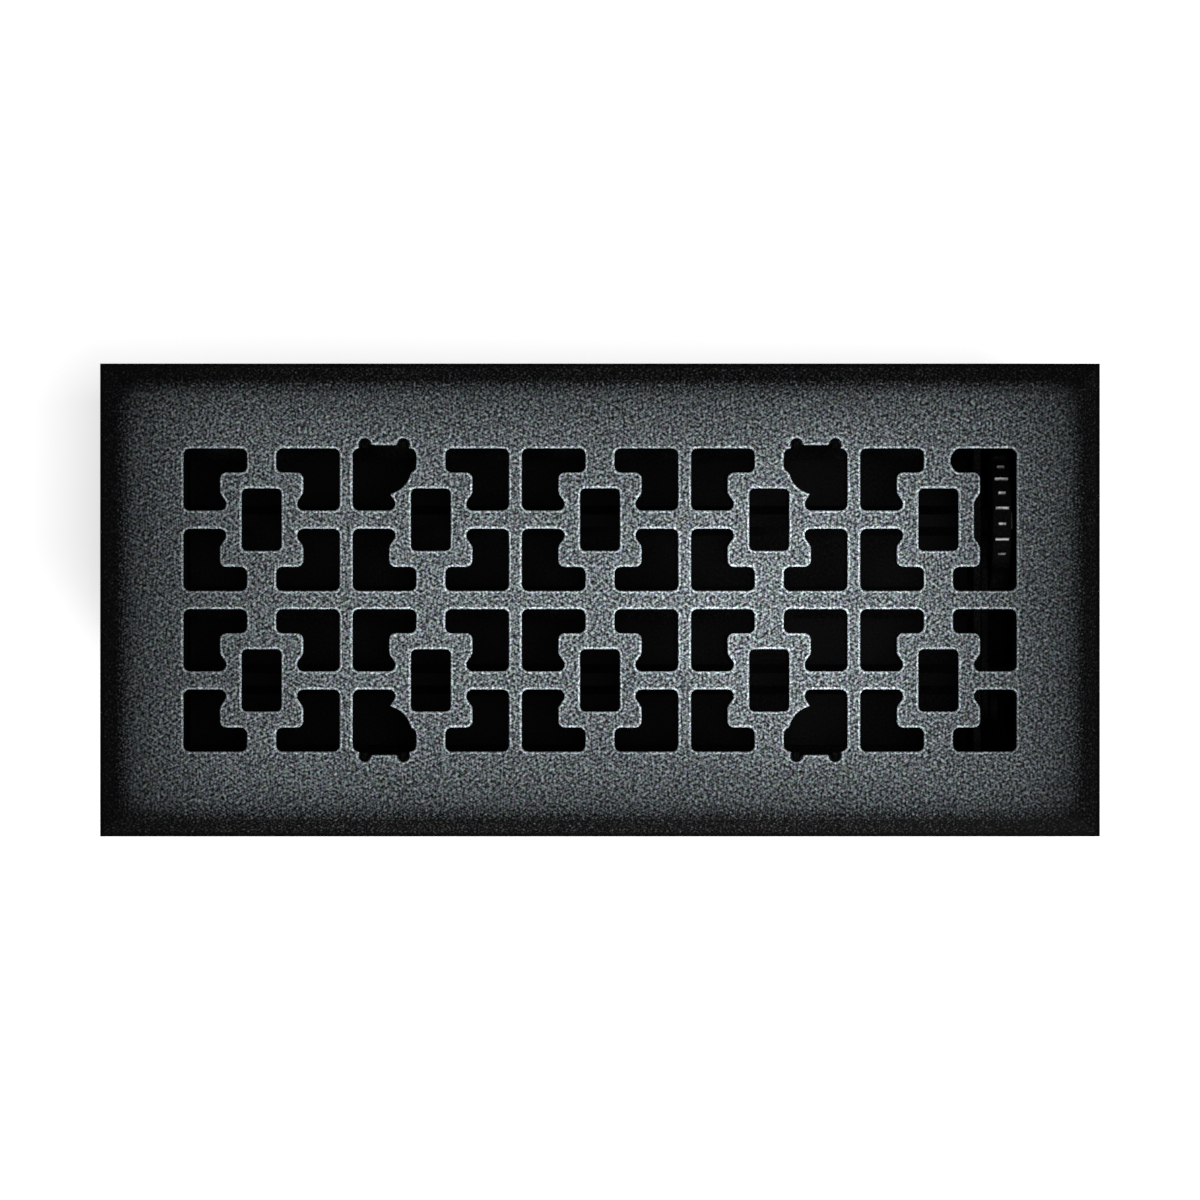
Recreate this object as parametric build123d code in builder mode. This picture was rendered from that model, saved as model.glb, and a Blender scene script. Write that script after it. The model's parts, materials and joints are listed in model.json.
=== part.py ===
from build123d import *
import os
from math import cos, radians, sin, tan

os.makedirs("parts", exist_ok=True)

# Floor register: a pierced face plate over a box with two linked damper blades.
# Millimetres. X runs along the face, Y across it and Z up.
# Z = 0 is the floor that the rim of the face rests on.

# Face plate
face_length = 295.3
face_width = 139.7
face_height = 4.8
face_thickness = 2.5
lip_height = 0.9
bevel_angle = 30.0
bevel_radius = 10.4
seat_land = 2.5

# Lattice: each unit is a centre window with an L-shaped window in each corner
columns = 5
column_pitch = 49.85
row_pitch = 47.35
narrow_bar = 3.75
wide_bar = 8.55
cross_bar = 5.3
centre_window_width = 11.8
centre_window_height = 18.45
centre_window_radius = 1.6
window_radius = 1.9
corner_flats = 3
frame_bar = 4.65
frame_block = 6.35
frame_waist = 4.55
waist_start = 5.3
waist_end = 7.9

# Lobed windows, with two notches each for the prongs of the box
lobe_radius = 8.1
lobe_x = 13.75
lobe_y = 15.5
lobe_top = 22.0
notch_radius = 1.9
notch_throat = 1.35
notch_sink = 1.2
notch_sides = 12
notch_spacing = 11.4
notch_y = 22.2

# Round end of the thumb slot's upper arm
slot_end_radius = 3.5
slot_end_x = 7.0
slot_end_y = 17.4

# Damper box
wall = 2.0
box_corner = 2.0
lead_in = 1.0
end_gap = 0.3
skirt = 3.4
partition_thickness = 2.0
bay_floor = 2.0
stop_thickness = 2.0
stop_lap = 1.5
centre_web = 2.4
prong_width = 1.6
prong_depth = 1.8
prong_root = 6.0
hook_reach = 0.7
hook_height = 0.6
hook_gap = 0.1

# Blades
damper_swing = 85.0
blade_edge = 1.4
blade_root = 2.8
blade_gap = 0.25
swing_gap = 0.6
blade_end_gap = 0.5
spine_radius = 4.8
spine_sides = 8
journal_radius = 4.4
journal_proud = 0.2
running_gap = 0.05
rib_count = 5
rib_thickness = 1.5
rib_margin = 6.0

# Drive shafts and pivot pins
shaft_side = 5.0
key_gap = 0.05
shaft_grip = 14.0
pin_radius = 2.0
pin_grip = 14.0

# Thumb wheel, crank and link
wheel_radius = 22.6
wheel_recess = 0.2
wheel_gap = 0.6
wheel_side_gap = 1.5
wheel_width = 5.4
rim_thickness = 2.4
web_thickness = 2.0
hub_wall = 1.0
hub_gap = 0.3
wheel_ribs = 30
wheel_rib_height = 0.8
wheel_rib_thickness = 1.3
long_rib = 4.6
short_rib = 2.8
rib_phase = 2.8
crank_radius = 12.0
crank_pin_radius = 2.0
crank_pin_gap = 0.4
arm_width = 9.0
link_width = 7.0
link_thickness = 2.0
link_corner = 1.8
link_gap = 0.8

# Levels and lines that the pieces share
underside = face_height - face_thickness
axis_y = row_pitch / 2
axis_z = face_height - wheel_recess - wheel_radius
bevel_arc_run = bevel_radius * sin(radians(bevel_angle))
bevel_arc_rise = bevel_radius * (1 - cos(radians(bevel_angle)))
bevel_run = (face_height - lip_height - bevel_arc_rise) / tan(radians(bevel_angle))
hollow_run = underside / tan(radians(bevel_angle))

# Edges of an L-shaped window, measured from the middle of its unit
reach_x = (column_pitch - narrow_bar) / 2
reach_y = (row_pitch - cross_bar) / 2
block_x = centre_window_width / 2 + frame_block
block_y = centre_window_height / 2 + frame_bar
waist_x = centre_window_width / 2 + frame_waist

# Inside of the box, and its partition, from the windows, the wheel and the link
field_x = (columns - 1) / 2 * column_pitch + reach_x
inner_x = field_x + end_gap
inner_y = axis_y + wheel_radius + wheel_gap
box_bottom = axis_z - wheel_radius - skirt
wheel_right = field_x - wheel_side_gap
wheel_left = wheel_right - wheel_width
link_left = wheel_left - link_gap - link_thickness
partition_right = link_left - link_gap
partition_left = partition_right - partition_thickness

# Blades reach up to the face when open, or to the centre bar where that is nearer
blade_reach = min(underside - axis_z - swing_gap, axis_y - centre_web)
blade_left = blade_end_gap - inner_x
blade_right = partition_left - blade_end_gap
seat_drop = blade_edge / 2 + blade_gap

# Crank pins lean half the swing to one side of upright at rest
crank_shift = crank_radius * sin(radians(damper_swing / 2))
crank_rise = crank_radius * cos(radians(damper_swing / 2))

# Notch positions along the face, the same for both long edges
lobe_centre = column_pitch + lobe_x
notch_xs = [
    side * lobe_centre + shift
    for side in (-1, 1)
    for shift in (-notch_spacing / 2, notch_spacing / 2)
]
notch_line = axis_y + notch_y


def across(x, y=0.0):
    """Plane across the damper at x, with its origin on the axis line at y."""
    return Plane((x, y, axis_z), x_dir=(0, 1, 0), z_dir=(1, 0, 0))


def bevelled_section(half_span):
    """Section of the face: upright lip, straight bevel, arc and flat top, the same on both sides."""
    with BuildLine() as outline:
        lip = Line((half_span, 0), (half_span, lip_height))
        bevel = Line(lip @ 1, (half_span - bevel_run, face_height - bevel_arc_rise))
        crown = TangentArc(
            bevel @ 1,
            (half_span - bevel_run - bevel_arc_run, face_height),
            tangent=bevel % 1,
        )
        Line(crown @ 1, (0, face_height))
        mirror(outline.line, about=Plane.YZ)
        Line((half_span, 0), (-half_span, 0))
    make_face(outline.edges())


def eased(corners, radius):
    """Outline with each corner rounded in flats.

    The points lie at equal steps on an arc of the given radius that touches both sides of the corner.
    A right angle gets corner_flats flats, and a wider corner fewer.
    """
    points = [Vector(*corner) for corner in corners]
    outline = []
    for before, corner, after in zip(points[-1:] + points[:-1], points, points[1:] + points[:1]):
        back = (before - corner).normalized()
        ahead = (after - corner).normalized()
        turn = 180 - back.get_angle(ahead)
        flats = max(1, round(corner_flats * turn / 90))
        middle = corner + (back + ahead).normalized() * (radius / cos(radians(turn / 2)))
        start = corner + back * (radius * tan(radians(turn / 2))) - middle
        step = turn / flats if ahead.cross(back).Z > 0 else -turn / flats
        outline += [middle + start.rotate(Axis.Z, step * flat) for flat in range(flats + 1)]
    return outline


# L-shaped window of the corner towards +X and +Y
with BuildSketch() as corner_window:
    with BuildLine():
        Polyline(
            eased(
                [
                    (wide_bar / 2, reach_y),
                    (reach_x, reach_y),
                    (reach_x, cross_bar / 2),
                    (waist_x, cross_bar / 2),
                    (waist_x, waist_start),
                    (block_x, waist_end),
                    (block_x, block_y),
                    (wide_bar / 2, block_y),
                ],
                window_radius,
            ),
            close=True,
        )
    make_face()

# Upright window in the middle of a unit
with BuildSketch() as centre_window:
    with BuildLine():
        Polyline(
            eased(
                [
                    (side * centre_window_width / 2, end * centre_window_height / 2)
                    for side, end in ((1, 1), (-1, 1), (-1, -1), (1, -1))
                ],
                centre_window_radius,
            ),
            close=True,
        )
    make_face()

# The L-shaped window widened by a round lobe with a level top and the throats of two notches
with BuildSketch() as lobed_window:
    with Locations((lobe_x, lobe_y)):
        Circle(lobe_radius)
    with Locations((lobe_x, lobe_top)):
        Rectangle(
            2 * lobe_radius,
            lobe_radius,
            align=(Align.CENTER, Align.MIN),
            mode=Mode.SUBTRACT,
        )
        Rectangle(notch_spacing, lobe_top - lobe_y, align=(Align.CENTER, Align.MAX))
    add(corner_window.sketch)
    with Locations((lobe_x, notch_y)):
        with GridLocations(notch_spacing, 0, 2, 1):
            RegularPolygon(notch_throat, notch_sides)

# Two L-shaped windows run together into the slot for the thumb wheel
with BuildSketch() as thumb_slot:
    add(corner_window.sketch)
    mirror(corner_window.sketch, about=Plane.XZ)
    with Locations(((waist_x + reach_x) / 2, 0)):
        Rectangle(reach_x - waist_x, 2 * waist_start)
    with Locations((slot_end_x, slot_end_y)):
        Circle(slot_end_radius)


def flipped(window, side, end):
    """The window turned towards one side and one end of its unit."""
    if side < 0:
        window = mirror(window, about=Plane.YZ, mode=Mode.PRIVATE)
    if end < 0:
        window = mirror(window, about=Plane.XZ, mode=Mode.PRIVATE)
    return window


def unit_centre(column, row):
    """Middle of one unit of the lattice."""
    return ((column - (columns - 1) / 2) * column_pitch, row * axis_y)


def window_for(column, row, side, end):
    """Window in one corner of a unit: lobed at the prongs, the slot at the wheel, else plain."""
    from_middle = column - (columns - 1) / 2
    if from_middle * side == 1 and end == row:
        return lobed_window
    if column == columns - 1 and row == 1 and side == 1:
        return thumb_slot if end == 1 else None
    return corner_window


units = [(column, row) for column in range(columns) for row in (-1, 1)]
with BuildSketch() as windows:
    with Locations([unit_centre(*unit) for unit in units]):
        add(centre_window.sketch)
    for shape in (corner_window, lobed_window, thumb_slot):
        for side, end in ((1, 1), (1, -1), (-1, 1), (-1, -1)):
            spots = [unit_centre(*unit) for unit in units if window_for(*unit, side, end) is shape]
            if spots:
                with Locations(spots):
                    add(flipped(shape.sketch, side, end))

with BuildPart() as face_plate:
    # two bevelled sections crossed, which mitres the corners
    with BuildSketch(Plane.XZ):
        bevelled_section(face_length / 2)
    extrude(amount=face_width / 2, both=True)
    with BuildSketch(Plane.YZ):
        bevelled_section(face_width / 2)
    extrude(amount=face_length / 2, both=True, mode=Mode.INTERSECT)
    # hollow underside inside the land that rests on the floor
    with BuildSketch(Plane.XY):
        Rectangle(face_length - 2 * seat_land, face_width - 2 * seat_land)
    with BuildSketch(Plane.XY.offset(underside)):
        Rectangle(
            face_length - 2 * (seat_land + hollow_run),
            face_width - 2 * (seat_land + hollow_run),
        )
    loft(ruled=True, mode=Mode.SUBTRACT)
    # windows, and the wider upper part of the notches
    with BuildSketch(Plane.XY):
        add(windows.sketch)
    extrude(amount=2 * face_height, mode=Mode.SUBTRACT)
    with BuildSketch(Plane.XY.offset(face_height - notch_sink)):
        with Locations([(x, y) for x in notch_xs for y in (-notch_line, notch_line)]):
            RegularPolygon(notch_radius, notch_sides)
    extrude(amount=notch_sink, mode=Mode.SUBTRACT)
face_plate.part.label = "face_plate"
export_step(face_plate.part, "parts/face_plate.step")


def stop_sections():
    """Sections of the two stop ledges and of the Z-shaped centre bar, about the axis line.

    The ledge under one blade edge and half of the bar are drawn once, and again turned half round.
    """
    ledge_tip = axis_y + blade_reach - stop_lap
    ledge_width = inner_y - ledge_tip
    bar_tip = axis_y - blade_reach + stop_lap
    Rectangle(centre_web, 2 * (seat_drop + stop_thickness))
    for turn in (1, -1):
        with BuildLine() as ledge:
            Polyline(
                (-turn * inner_y, -turn * seat_drop),
                (-turn * ledge_tip, -turn * seat_drop),
                (-turn * ledge_tip, -turn * (seat_drop + stop_thickness)),
                (-turn * inner_y, -turn * (seat_drop + stop_thickness + ledge_width)),
                close=True,
            )
        make_face(ledge.edges())
        with Locations((turn * bar_tip / 2, -turn * (seat_drop + stop_thickness / 2))):
            Rectangle(bar_tip, stop_thickness)


def prong_section(side):
    """Section of a prong: root on the side wall, post through the notch and a hook on its ledge."""
    wall_middle = inner_y + wall / 2
    post_inside = notch_line - prong_depth / 2
    post_outside = notch_line + prong_depth / 2
    hook_level = face_height - notch_sink + hook_gap
    with BuildLine() as prong:
        Polyline(
            (side * wall_middle, underside - prong_root - (wall_middle - post_inside)),
            (side * post_inside, underside - prong_root),
            (side * post_inside, hook_level + hook_height),
            (side * post_outside, hook_level + hook_height),
            (side * (post_outside + hook_reach), hook_level),
            (side * post_outside, hook_level),
            (side * post_outside, underside),
            (side * wall_middle, underside),
            close=True,
        )
    make_face(prong.edges())


with BuildPart() as damper_box:
    # four walls, open above and below, with a lead-in round the bottom
    with BuildSketch(Plane.XY.offset(box_bottom)):
        RectangleRounded(2 * (inner_x + wall), 2 * (inner_y + wall), box_corner)
        Rectangle(2 * inner_x, 2 * inner_y, mode=Mode.SUBTRACT)
    extrude(amount=underside - box_bottom)
    chamfer(damper_box.faces().sort_by(Axis.Z)[0].outer_wire().edges(), lead_in)
    # partition that parts the wheel and the link from the air way
    with BuildSketch(Plane.YZ.offset(partition_left)):
        with Locations((0, (underside + box_bottom) / 2)):
            Rectangle(2 * inner_y, underside - box_bottom)
    extrude(amount=partition_thickness)
    # floor of the wheel's bay, so that no air goes past beside the blades
    with BuildSketch(Plane.XY.offset(box_bottom)):
        with Locations(((partition_right + inner_x) / 2, 0)):
            Rectangle(inner_x - partition_right, 2 * inner_y)
    extrude(amount=bay_floor)
    # stops that the closed blades lie against
    with BuildSketch(across(-inner_x)):
        stop_sections()
    extrude(amount=partition_left + inner_x)
    # bearings for journals and shafts on one end, pins on the other
    with BuildSketch(across(partition_left)):
        with GridLocations(2 * axis_y, 0, 2, 1):
            Circle(journal_radius + running_gap)
    extrude(amount=inner_x + wall - partition_left, mode=Mode.SUBTRACT)
    with BuildSketch(across(-inner_x - wall)):
        with GridLocations(2 * axis_y, 0, 2, 1):
            Circle(pin_radius + running_gap)
    extrude(amount=wall, mode=Mode.SUBTRACT)
    # prongs that come up through the notches of the face
    for x in notch_xs:
        with BuildSketch(Plane.YZ.offset(x - prong_width / 2)):
            for side in (-1, 1):
                prong_section(side)
        extrude(amount=prong_width)
damper_box.part.label = "damper_box"
export_step(damper_box.part, "parts/damper_box.step")

# The two dampers are alike: blade, drive shaft and pivot pin on one axis
for name, y in (("rear", axis_y), ("front", -axis_y)):
    with BuildPart() as blade:
        # flat blade, thicker at its round spine
        with BuildSketch(across(blade_left, y)):
            with BuildLine():
                Polyline(
                    (blade_reach, -blade_edge / 2),
                    (blade_reach, blade_edge / 2),
                    (0, blade_root / 2),
                    (-blade_reach, blade_edge / 2),
                    (-blade_reach, -blade_edge / 2),
                    (0, -blade_root / 2),
                    close=True,
                )
            make_face()
            RegularPolygon(spine_radius, spine_sides, rotation=180 / spine_sides)
        extrude(amount=blade_right - blade_left)
        # ribs across the underside
        rib_pitch = (blade_right - blade_left) / rib_count
        for rib in range(rib_count):
            with BuildSketch(across(blade_left + (rib + 0.5) * rib_pitch - rib_thickness / 2, y)):
                with BuildLine():
                    Polyline(
                        (rib_margin - blade_reach, 0),
                        (blade_reach - rib_margin, 0),
                        (0, -spine_radius * cos(radians(180 / spine_sides))),
                        close=True,
                    )
                make_face()
            extrude(amount=rib_thickness)
        # journal through the partition, with a square socket for the shaft
        with BuildSketch(across(blade_right, y)):
            Circle(journal_radius)
        extrude(amount=partition_right + journal_proud - blade_right)
        with BuildSketch(across(partition_right + journal_proud, y)):
            Rectangle(shaft_side + 2 * key_gap, shaft_side + 2 * key_gap)
        extrude(amount=-shaft_grip - key_gap, mode=Mode.SUBTRACT)
        # bore for the pivot pin
        with BuildSketch(across(blade_left, y)):
            Circle(pin_radius + running_gap)
        extrude(amount=pin_grip + running_gap, mode=Mode.SUBTRACT)
    blade.part.label = f"{name}_blade"
    export_step(blade.part, f"parts/{name}_blade.step")

    with BuildPart() as shaft:
        with BuildSketch(across(partition_right + journal_proud - shaft_grip, y)):
            Rectangle(shaft_side, shaft_side)
        extrude(amount=inner_x + wall - partition_right - journal_proud + shaft_grip)
        with BuildSketch(across(inner_x, y)):
            Circle(journal_radius)
        extrude(amount=wall)
    shaft.part.label = f"{name}_shaft"
    export_step(shaft.part, f"parts/{name}_shaft.step")

    with BuildPart() as pivot_pin:
        with BuildSketch(across(blade_left + pin_grip, y)):
            Circle(pin_radius)
        extrude(amount=-inner_x - wall - blade_left - pin_grip)
    pivot_pin.part.label = f"{name}_pivot_pin"
    export_step(pivot_pin.part, f"parts/{name}_pivot_pin.step")


def hub_and_crank_pin(y):
    """Square hub on the shaft at y, and the crank pin that carries one end of the link."""
    hub_left = partition_right + hub_gap
    bore_side = shaft_side + 2 * key_gap
    with BuildSketch(across(hub_left, y)) as hub:
        Rectangle(bore_side + 2 * hub_wall, bore_side + 2 * hub_wall)
    extrude(hub.sketch, amount=inner_x - hub_gap - hub_left)
    with BuildSketch(across(hub_left, y)) as bore:
        Rectangle(bore_side, bore_side)
    extrude(bore.sketch, amount=inner_x - hub_left, mode=Mode.SUBTRACT)
    with BuildSketch(across(wheel_left, y)) as pin:
        with Locations((-crank_shift, crank_rise)):
            Circle(crank_pin_radius)
    extrude(pin.sketch, amount=partition_right + crank_pin_gap - wheel_left)


def wheel_ring(radius):
    """Many-sided disc with one flat under each rib of the wheel."""
    RegularPolygon(
        radius,
        wheel_ribs,
        major_radius=False,
        rotation=90 + rib_phase + 180 / wheel_ribs,
    )


with BuildPart() as thumb_wheel:
    # rim and web
    rim_radius = wheel_radius - wheel_rib_height
    with BuildSketch(across(wheel_left, axis_y)):
        wheel_ring(rim_radius)
    extrude(amount=wheel_right - wheel_left)
    with BuildSketch(across(wheel_left + web_thickness, axis_y)):
        wheel_ring(rim_radius - rim_thickness)
    extrude(amount=wheel_right - wheel_left, mode=Mode.SUBTRACT)
    # grip ribs, long and short by turns
    for rib_length, turn in ((short_rib, 0), (long_rib, 1)):
        with BuildSketch(across((wheel_left + wheel_right - rib_length) / 2, axis_y)):
            with PolarLocations(
                wheel_radius - wheel_rib_height,
                wheel_ribs // 2,
                start_angle=90 + rib_phase + turn * 360 / wheel_ribs,
            ):
                Rectangle(2 * wheel_rib_height, wheel_rib_thickness)
        extrude(amount=rib_length)
    hub_and_crank_pin(axis_y)
thumb_wheel.part.label = "thumb_wheel"
export_step(thumb_wheel.part, "parts/thumb_wheel.step")

with BuildPart() as crank_arm:
    with BuildSketch(across(wheel_left, -axis_y)):
        with Locations((-crank_shift / 2, crank_rise / 2)):
            SlotCenterToCenter(crank_radius, arm_width, rotation=90 + damper_swing / 2)
    extrude(amount=web_thickness)
    hub_and_crank_pin(-axis_y)
crank_arm.part.label = "crank_arm"
export_step(crank_arm.part, "parts/crank_arm.step")

with BuildPart() as link_bar:
    with BuildSketch(across(link_left)):
        with Locations((-crank_shift, crank_rise)):
            Rectangle(2 * axis_y + link_width, link_width)
            with GridLocations(2 * axis_y, 0, 2, 1):
                Circle(crank_pin_radius + running_gap, mode=Mode.SUBTRACT)
    extrude(amount=link_thickness)
    chamfer(link_bar.edges().filter_by(Axis.X).filter_by(GeomType.LINE), link_corner)
link_bar.part.label = "link_bar"
export_step(link_bar.part, "parts/link_bar.step")
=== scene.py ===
"""Looks of a floor register: a powder-coated lattice face over a black box with two linked dampers.

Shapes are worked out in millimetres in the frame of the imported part, and written to the meshes in
metres. X runs along the face, Y across it and Z up. Z = 0 is the floor that the rim rests on.
Flat outlines are arrays of complex numbers, x + iy, that run anticlockwise.
"""

import json
from math import cos, pi, radians, sin, tan

import bmesh
import bpy
import numpy as np
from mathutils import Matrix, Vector
from mathutils.geometry import delaunay_2d_cdt


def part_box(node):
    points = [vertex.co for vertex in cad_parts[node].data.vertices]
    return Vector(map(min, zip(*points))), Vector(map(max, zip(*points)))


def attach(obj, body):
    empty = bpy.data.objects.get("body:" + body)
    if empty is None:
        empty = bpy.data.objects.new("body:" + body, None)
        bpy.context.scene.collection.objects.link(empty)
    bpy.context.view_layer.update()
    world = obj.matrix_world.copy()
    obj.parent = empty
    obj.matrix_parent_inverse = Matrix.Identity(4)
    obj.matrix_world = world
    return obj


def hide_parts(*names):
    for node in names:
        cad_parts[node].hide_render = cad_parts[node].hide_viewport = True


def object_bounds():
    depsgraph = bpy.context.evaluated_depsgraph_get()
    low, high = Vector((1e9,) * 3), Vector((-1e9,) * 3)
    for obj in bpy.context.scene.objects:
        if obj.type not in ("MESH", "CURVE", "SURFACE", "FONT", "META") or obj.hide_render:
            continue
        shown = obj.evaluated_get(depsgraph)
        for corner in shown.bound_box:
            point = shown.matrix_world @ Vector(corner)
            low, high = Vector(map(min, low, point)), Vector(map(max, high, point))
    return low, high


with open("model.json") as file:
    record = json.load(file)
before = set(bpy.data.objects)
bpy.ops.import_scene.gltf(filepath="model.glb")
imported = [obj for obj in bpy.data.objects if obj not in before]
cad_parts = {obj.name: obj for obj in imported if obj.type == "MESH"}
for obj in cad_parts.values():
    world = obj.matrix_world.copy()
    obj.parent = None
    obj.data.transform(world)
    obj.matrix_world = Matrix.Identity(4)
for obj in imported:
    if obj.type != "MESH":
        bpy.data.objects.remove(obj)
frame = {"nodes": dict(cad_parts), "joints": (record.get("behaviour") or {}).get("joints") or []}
cad_low, cad_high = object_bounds()

MM = 0.001
MERGE = 1e-6
SHARP = radians(28)
EDGE_EASE = 0.25
EASE_SEGMENTS = 2
EASED_FROM = radians(40)

# Cutting into triangles: only what lies inside the outlines, with points this close taken as one
INSIDE_ONLY = 1
SAME_POINT = 1e-5

# Face plate
HALF_LENGTH, HALF_WIDTH, FACE_TOP = np.array(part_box("face_plate")[1]) / MM
FACE_THICKNESS = 2.5
UNDERSIDE = FACE_TOP - FACE_THICKNESS
SEAT_EASE = 0.2
LIP_HEIGHT = 0.9
LIP_ROUND = 0.35
LIP_TURN_START, LIP_TURN_MIDDLE, LIP_TURN_END = 0.05, 0.18, 0.4
LIP_TURN_SAG = 0.02
BEVEL_ANGLE = radians(30)
BEVEL_RADIUS = 10.4
BEVEL_STEPS = 8
SEAT_LAND = 2.5
HOLLOW_RUN = UNDERSIDE / tan(BEVEL_ANGLE)

# Lattice: each unit is a centre window with an L-shaped window in each corner
COLUMNS = 5
COLUMN_PITCH = 49.85
ROW_PITCH = 47.35
NARROW_BAR, WIDE_BAR, CROSS_BAR = 3.75, 8.55, 5.3
FRAME_BLOCK, FRAME_BAR, FRAME_WAIST = 6.35, 4.65, 4.55
CENTRE_X, CENTRE_Y = 11.8 / 2, 18.45 / 2
REACH_X = (COLUMN_PITCH - NARROW_BAR) / 2
REACH_Y = (ROW_PITCH - CROSS_BAR) / 2
ARM_X = WIDE_BAR / 2
BLOCK_X = CENTRE_X + FRAME_BLOCK
BLOCK_Y = CENTRE_Y + FRAME_BAR
WAIST_X = CENTRE_X + FRAME_WAIST
WAIST_START, WAIST_END = 5.3, 7.9
FOOT_Y = CROSS_BAR / 2
CENTRE_ROUND = 1.6
WINDOW_ROUND = 1.9
CORNER_STEPS = 8

# Lobed windows with their notches, and the round end of the thumb slot
LOBE = 13.75 + 15.5j
LOBE_RADIUS = 8.1
LOBE_TOP = 22.0
NOTCH_SPACING = 11.4
NOTCH_Y = 22.2
NOTCHES = [LOBE.real + side * NOTCH_SPACING / 2 + 1j * NOTCH_Y for side in (-1, 1)]
NOTCH_RADIUS, NOTCH_THROAT = 1.9, 1.35
NOTCH_SINK = 1.2
NOTCH_LEDGE = FACE_TOP - NOTCH_SINK
NOTCH_STEPS = 32
SLOT_END = 7.0 + 17.4j
SLOT_END_RADIUS = 3.5
OUTLINE_STEP = 0.4
OUTLINE_BLUR = 0.3
CLEAR_SHARE = 0.97

# Rounded edge of the windows, with a painted highlight along it
EDGE_ROUND = 0.55
EDGE_STEPS = 6
HIGHLIGHT_FADE = 0.15
HIGHLIGHT_AT_TOP, HIGHLIGHT_AT_WALL = 0.85, 0.6

# Thumb wheel, about the damper's hinge line
JOINTS = {joint["name"]: joint for joint in frame["joints"]}
HINGE_Y, HINGE_Z = np.array(JOINTS["rear_damper_turn"]["pos_m"][1:]) / MM
WHEEL_LOW, WHEEL_HIGH = (np.array(corner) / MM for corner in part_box("thumb_wheel"))
LINK_HINGE = np.array(JOINTS["link_swing"]["pos_m"]) / MM
WHEEL_RADIUS = 22.6
WHEEL_WIDTH = 5.4
HUB_PROUD = 1.5
WHEEL_RIGHT = WHEEL_HIGH[0] - HUB_PROUD
WHEEL_LEFT = WHEEL_RIGHT - WHEEL_WIDTH
RIM_THICKNESS = 2.4
WEB = 2.0
WHEEL_EASE = 0.35
EASE_TURN = WHEEL_EASE * 0.3
WHEEL_ROWS = 31
RIBS = 30
RIB_STEPS = 14
RIB_HEIGHT = 0.8
RIB_FLANK = 0.9
RIB_END_INSIDE, RIB_END_OUTSIDE = 0.45, 0.05
RIB_PHASE = radians(90 + 2.8)
LONG_RIB, SHORT_RIB = 4.6, 2.8
CREST_FROM, CREST_TO = 0.6, 0.95
LIT_CRESTS_FROM = radians(-58), radians(-42)
LIT_CRESTS_TO = radians(20), radians(34)
HUB_SIDE, BORE_SIDE = 7.1, 5.1
SQUARENESS = 10
CRANK_PIN_RADIUS = 2.0
CRANK_PIN_EASE = 0.2
CRANK_PIN_STEPS = 32
CRANK_PIN_END = WHEEL_LOW[0] + 0.1

# Box and dampers: the air way ends in the partition that the blades' journals go through
BOX_END, BOX_SIDE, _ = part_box("damper_box")[1]
BLADE_EDGE = 1.4
STOP_BOTTOM = 2.95
JOURNAL_BEYOND_AIR_WAY = 1.2
AIR_WAY_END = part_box("rear_blade")[1][0] / MM - JOURNAL_BEYOND_AIR_WAY


def rounded_outline(corners, radius):
    """Closed outline whose corners are arcs.

    Each arc's centre lies on the corner's bisector at radius / cos(turn / 2), and the arc sweeps
    the turn in equal steps from where it touches the side before the corner.
    """
    corners = np.asarray(corners)
    back = np.roll(corners, 1) - corners
    ahead = np.roll(corners, -1) - corners
    back, ahead = back / abs(back), ahead / abs(ahead)
    turn = pi - abs(np.angle(ahead / back))
    centre = corners + (back + ahead) / abs(back + ahead) * radius / np.cos(turn / 2)
    start = corners + back * radius * np.tan(turn / 2) - centre
    sweep = np.sign(np.angle(back / ahead)) * turn
    steps = np.linspace(0, 1, CORNER_STEPS + 1)
    return (centre[:, None] + start[:, None] * np.exp(1j * sweep[:, None] * steps)).ravel()


def circle(centre, radius, count=48):
    """Centre plus radius times e to the i angle."""
    return centre + radius * np.exp(2j * pi * np.arange(count) / count)


def flipped(outline, side, end):
    """Outline mirrored to one side and one end of its unit, still anticlockwise."""
    turned = side * outline.real + 1j * end * outline.imag
    return turned if side * end > 0 else turned[::-1]


def pushed_out(outline, distance):
    """Outline moved out by a distance: each point goes along the mitre of its two edge normals.

    Points that end up nearer to the outline than the distance have crossed over at a tight corner,
    and close up on the line between their clear neighbours.
    """
    along = np.roll(outline, -1) - outline
    normal = -1j * along / abs(along)
    mitre = normal + np.roll(normal, 1)
    moved = outline + distance * 2 * mitre / abs(mitre) ** 2
    if distance <= 0:
        return moved
    clear = abs(moved[:, None] - outline).min(1) > CLEAR_SHARE * distance
    order = np.arange(len(outline))
    return np.interp(order, order[clear], moved[clear], period=len(outline))


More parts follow.
